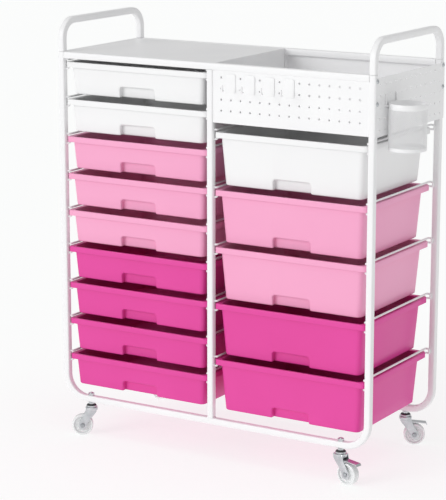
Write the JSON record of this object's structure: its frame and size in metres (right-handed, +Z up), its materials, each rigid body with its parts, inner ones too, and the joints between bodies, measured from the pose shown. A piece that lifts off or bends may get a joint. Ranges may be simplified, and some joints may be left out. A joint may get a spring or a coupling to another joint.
{
  "type": "rolling storage cart",
  "caption": "Rolling storage cart with pull-out plastic drawers on wire runners, a pegboard-sided box and shelf on top, hooks, pen cup, side handles and swivel casters.",
  "frame": {"origin": "on the floor, under the centre of the tube frame", "axes": "+Z up, -Y towards the drawer fronts, +X towards the box and the deep drawers"},
  "size_m": [0.9379, 0.4135, 1.024],
  "materials": {
    "white_metal": "white powder coat, satin",
    "hook_white": "white powder coat on bent wire",
    "cup_white": "white powder coat on fine mesh",
    "screw_zinc": "bright zinc plate",
    "caster_zinc": "bright zinc plate",
    "lever_zinc": "bright zinc plate",
    "wheel_clear": "translucent clear plastic",
    "drawer_white": "smooth moulded plastic, soft sheen",
    "drawer_light_pink": "smooth moulded plastic, soft sheen",
    "drawer_magenta": "smooth moulded plastic, soft sheen"
  },
  "bodies": {
    "cart_frame": {"front_frame_tube": "white_metal", "rear_frame_tube": "white_metal", "front_top_rail": "white_metal", "rear_top_rail": "white_metal", "front_centre_post": "white_metal", "rear_centre_post": "white_metal", "left_handle": "white_metal", "right_handle": "white_metal", "top_shelf": "white_metal", "box_floor": "white_metal", "box_divider": "white_metal", "front_pegboard": "white_metal", "side_pegboard": "white_metal", "box_back_panel": "white_metal", "panel_screws": "screw_zinc", "handle_screws": "screw_zinc", "peg_hooks": "hook_white", "pen_cup": "cup_white", "left_outer_runners": "white_metal", "left_inner_runners": "white_metal", "right_inner_runners": "white_metal", "right_outer_runners": "white_metal", "caster_stem_front_left": "caster_zinc", "caster_stem_front_right": "caster_zinc", "caster_stem_rear_left": "caster_zinc", "caster_stem_rear_right": "caster_zinc", "caster_nuts": "caster_zinc"},
    "fork_front_left": {"caster_fork_front_left": "caster_zinc", "caster_axle_front_left": "caster_zinc"},
    "wheel_front_left": {"caster_wheel_front_left": "wheel_clear"},
    "fork_front_right": {"caster_fork_front_right": "caster_zinc", "caster_axle_front_right": "caster_zinc"},
    "wheel_front_right": {"caster_wheel_front_right": "wheel_clear"},
    "lever_front_right": {"brake_lever_front_right": "lever_zinc"},
    "fork_rear_left": {"caster_fork_rear_left": "caster_zinc", "caster_axle_rear_left": "caster_zinc"},
    "wheel_rear_left": {"caster_wheel_rear_left": "wheel_clear"},
    "fork_rear_right": {"caster_fork_rear_right": "caster_zinc", "caster_axle_rear_right": "caster_zinc"},
    "wheel_rear_right": {"caster_wheel_rear_right": "wheel_clear"},
    "lever_rear_right": {"brake_lever_rear_right": "lever_zinc"},
    "shallow_drawer_1": {"shallow_drawer_1": "drawer_white"},
    "shallow_drawer_2": {"shallow_drawer_2": "drawer_white"},
    "shallow_drawer_3": {"shallow_drawer_3": "drawer_light_pink"},
    "shallow_drawer_4": {"shallow_drawer_4": "drawer_light_pink"},
    "shallow_drawer_5": {"shallow_drawer_5": "drawer_light_pink"},
    "shallow_drawer_6": {"shallow_drawer_6": "drawer_magenta"},
    "shallow_drawer_7": {"shallow_drawer_7": "drawer_magenta"},
    "shallow_drawer_8": {"shallow_drawer_8": "drawer_magenta"},
    "shallow_drawer_9": {"shallow_drawer_9": "drawer_magenta"},
    "deep_drawer_1": {"deep_drawer_1": "drawer_white"},
    "deep_drawer_2": {"deep_drawer_2": "drawer_light_pink"},
    "deep_drawer_3": {"deep_drawer_3": "drawer_light_pink"},
    "deep_drawer_4": {"deep_drawer_4": "drawer_magenta"},
    "deep_drawer_5": {"deep_drawer_5": "drawer_magenta"}
  },
  "joints": [
    {"name": "swivel_front_left", "type": "hinge", "parent": "cart_frame", "child": "fork_front_left", "pos_m": [-0.347, -0.167, 0.07], "axis": [0, 0, 1], "continuous": true},
    {"name": "roll_front_left", "type": "hinge", "parent": "fork_front_left", "child": "wheel_front_left", "pos_m": [-0.36586, -0.17833, 0.026], "axis": [-0.515, 0.8572, 0], "continuous": true},
    {"name": "swivel_front_right", "type": "hinge", "parent": "cart_frame", "child": "fork_front_right", "pos_m": [0.347, -0.167, 0.07], "axis": [0, 0, 1], "continuous": true},
    {"name": "roll_front_right", "type": "hinge", "parent": "fork_front_right", "child": "wheel_front_right", "pos_m": [0.36867, -0.17082, 0.026], "axis": [-0.1736, -0.9848, 0], "continuous": true},
    {"name": "press_front_right", "type": "hinge", "parent": "fork_front_right", "child": "lever_front_right", "pos_m": [0.35094, -0.16769, 0.0585], "axis": [0.1736, 0.9848, 0], "range_deg": [0, 8]},
    {"name": "swivel_rear_left", "type": "hinge", "parent": "cart_frame", "child": "fork_rear_left", "pos_m": [-0.347, 0.167, 0.07], "axis": [0, 0, 1], "continuous": true},
    {"name": "roll_rear_left", "type": "hinge", "parent": "fork_rear_left", "child": "wheel_rear_left", "pos_m": [-0.36825, 0.17269, 0.026], "axis": [0.2588, 0.9659, 0], "continuous": true},
    {"name": "swivel_rear_right", "type": "hinge", "parent": "cart_frame", "child": "fork_rear_right", "pos_m": [0.347, 0.167, 0.07], "axis": [0, 0, 1], "continuous": true},
    {"name": "roll_rear_right", "type": "hinge", "parent": "fork_rear_right", "child": "wheel_rear_right", "pos_m": [0.36605, 0.178, 0.026], "axis": [0.5, -0.866, 0], "continuous": true},
    {"name": "press_rear_right", "type": "hinge", "parent": "fork_rear_right", "child": "lever_rear_right", "pos_m": [0.35046, 0.169, 0.0585], "axis": [-0.5, 0.866, 0], "range_deg": [0, 8]},
    {"name": "pull_shallow_drawer_1", "type": "slide", "parent": "cart_frame", "child": "shallow_drawer_1", "axis": [0, -1, 0], "range_m": [0, 0.25]},
    {"name": "pull_shallow_drawer_2", "type": "slide", "parent": "cart_frame", "child": "shallow_drawer_2", "axis": [0, -1, 0], "range_m": [0, 0.25]},
    {"name": "pull_shallow_drawer_3", "type": "slide", "parent": "cart_frame", "child": "shallow_drawer_3", "axis": [0, -1, 0], "range_m": [0, 0.25]},
    {"name": "pull_shallow_drawer_4", "type": "slide", "parent": "cart_frame", "child": "shallow_drawer_4", "axis": [0, -1, 0], "range_m": [0, 0.25]},
    {"name": "pull_shallow_drawer_5", "type": "slide", "parent": "cart_frame", "child": "shallow_drawer_5", "axis": [0, -1, 0], "range_m": [0, 0.25]},
    {"name": "pull_shallow_drawer_6", "type": "slide", "parent": "cart_frame", "child": "shallow_drawer_6", "axis": [0, -1, 0], "range_m": [0, 0.25]},
    {"name": "pull_shallow_drawer_7", "type": "slide", "parent": "cart_frame", "child": "shallow_drawer_7", "axis": [0, -1, 0], "range_m": [0, 0.25]},
    {"name": "pull_shallow_drawer_8", "type": "slide", "parent": "cart_frame", "child": "shallow_drawer_8", "axis": [0, -1, 0], "range_m": [0, 0.25]},
    {"name": "pull_shallow_drawer_9", "type": "slide", "parent": "cart_frame", "child": "shallow_drawer_9", "axis": [0, -1, 0], "range_m": [0, 0.25]},
    {"name": "pull_deep_drawer_1", "type": "slide", "parent": "cart_frame", "child": "deep_drawer_1", "axis": [0, -1, 0], "range_m": [0, 0.25]},
    {"name": "pull_deep_drawer_2", "type": "slide", "parent": "cart_frame", "child": "deep_drawer_2", "axis": [0, -1, 0], "range_m": [0, 0.25]},
    {"name": "pull_deep_drawer_3", "type": "slide", "parent": "cart_frame", "child": "deep_drawer_3", "axis": [0, -1, 0], "range_m": [0, 0.25]},
    {"name": "pull_deep_drawer_4", "type": "slide", "parent": "cart_frame", "child": "deep_drawer_4", "axis": [0, -1, 0], "range_m": [0, 0.25]},
    {"name": "pull_deep_drawer_5", "type": "slide", "parent": "cart_frame", "child": "deep_drawer_5", "axis": [0, -1, 0], "range_m": [0, 0.25]}
  ]
}
